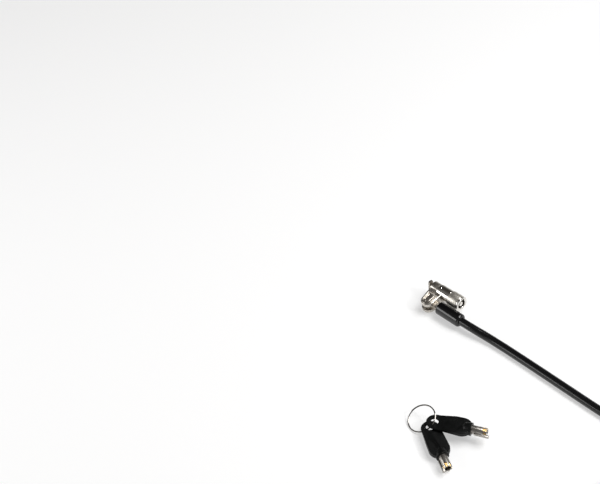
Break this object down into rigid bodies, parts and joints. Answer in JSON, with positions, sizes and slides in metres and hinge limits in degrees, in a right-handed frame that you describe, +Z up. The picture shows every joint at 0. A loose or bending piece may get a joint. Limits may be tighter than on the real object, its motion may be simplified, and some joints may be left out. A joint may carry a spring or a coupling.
{
  "type": "laptop cable lock",
  "caption": "Jacketed steel cable with an end loop, joined by a swivel and folding clevis to a small nickel tubular-key lock with a T-bar nose; keys on a split ring.",
  "frame": {"origin": "on the lock's axis, at the face of the device that the nose goes into; the table is 7.4 mm below", "axes": "+X along the barrel away from the device, +Z up, the clevis arm towards -Y"},
  "size_m": [0.2836, 0.1027, 0.0214],
  "materials": {
    "nickel_bright": "bright nickel plating",
    "nickel_satin": "satin nickel plating, fine lines round the barrel",
    "steel": "hardened steel",
    "dark_steel": "blackened and oiled steel",
    "brass": "turned brass",
    "clevis_nickel": "nickel plating over a casting, lightly worn",
    "inlay_nickel": "bare nickel oval, set in a rim",
    "black_boot": "glossy black",
    "cable_jacket": "glossy black jacket over steel strand",
    "crimp_metal": "pressed aluminium",
    "black_bow": "black satin moulding",
    "key_nickel": "nickel plating",
    "ring_nickel": "nickel plating"
  },
  "bodies": {
    "cable": {"swivel_ferrule": "steel", "cable_boot": "black_boot", "cable_end": "cable_jacket", "cable_run": "cable_jacket", "cable_coil": "cable_jacket", "cable_tail": "cable_jacket", "loop_crimp": "crimp_metal", "cable_loop": "cable_jacket"},
    "link": {"link_tongue": "steel", "swivel_collar": "steel"},
    "clevis": {"clevis_block": "clevis_nickel", "clevis_inlay": "inlay_nickel", "pivot_pin": "steel"},
    "lock": {"neck_housing": "nickel_bright", "retaining_washer": "steel", "anchor_pin_1": "steel", "anchor_pin_2": "steel", "barrel_shell": "nickel_satin", "face_ring": "nickel_bright", "pin_block": "brass", "block_pin": "steel", "driver_pin_1": "brass", "driver_pin_2": "brass", "driver_pin_3": "brass", "driver_pin_4": "brass", "driver_pin_5": "brass", "driver_pin_6": "brass", "driver_pin_7": "brass", "pin_spring_1": "steel", "pin_spring_2": "steel", "pin_spring_3": "steel", "pin_spring_4": "steel", "pin_spring_5": "steel", "pin_spring_6": "steel", "pin_spring_7": "steel"},
    "rotor": {"rotor_plug": "dark_steel", "centre_post": "nickel_bright", "tbar_spindle": "steel", "key_pin_1": "brass", "key_pin_2": "brass", "key_pin_3": "brass", "key_pin_4": "brass", "key_pin_5": "brass", "key_pin_6": "brass", "key_pin_7": "brass"},
    "key_ring": {"key_ring": "ring_nickel"},
    "key_1": {"key_1_bow": "black_bow", "key_1_tube": "key_nickel", "key_1_core": "brass"},
    "key_2": {"key_2_bow": "black_bow", "key_2_tube": "key_nickel", "key_2_core": "brass"}
  },
  "joints": [
    {"name": "cable_swivel", "type": "hinge", "parent": "cable", "child": "link", "pos_m": [0.0165, -0.00895, -0.00233], "axis": [1, 0, 0], "continuous": true},
    {"name": "clevis_fold", "type": "hinge", "parent": "link", "child": "clevis", "pos_m": [0.0052, -0.00895, -0.00233], "axis": [0, -0.1564, 0.9877], "range_deg": [0, 90]},
    {"name": "head_turn", "type": "hinge", "parent": "clevis", "child": "lock", "pos_m": [0, 0, 0], "axis": [1, 0, 0], "continuous": true},
    {"name": "rotor_turn", "type": "hinge", "parent": "lock", "child": "rotor", "pos_m": [0.015, 0, 0], "axis": [1, 0, 0], "range_deg": [0, 90]},
    {"name": "key_ring_lift", "type": "slide", "parent": "cable", "child": "key_ring", "axis": [0, 0, 1], "range_m": [0, 0.06]},
    {"name": "key_1_swing", "type": "hinge", "parent": "key_ring", "child": "key_1", "pos_m": [0.07231, -0.07651, -0.0021], "axis": [0, 0, 1], "range_deg": [-8, 25]},
    {"name": "key_2_swing", "type": "hinge", "parent": "key_ring", "child": "key_2", "pos_m": [0.07237, -0.08011, -0.0021], "axis": [0, 0, 1], "range_deg": [-25, 8]}
  ]
}
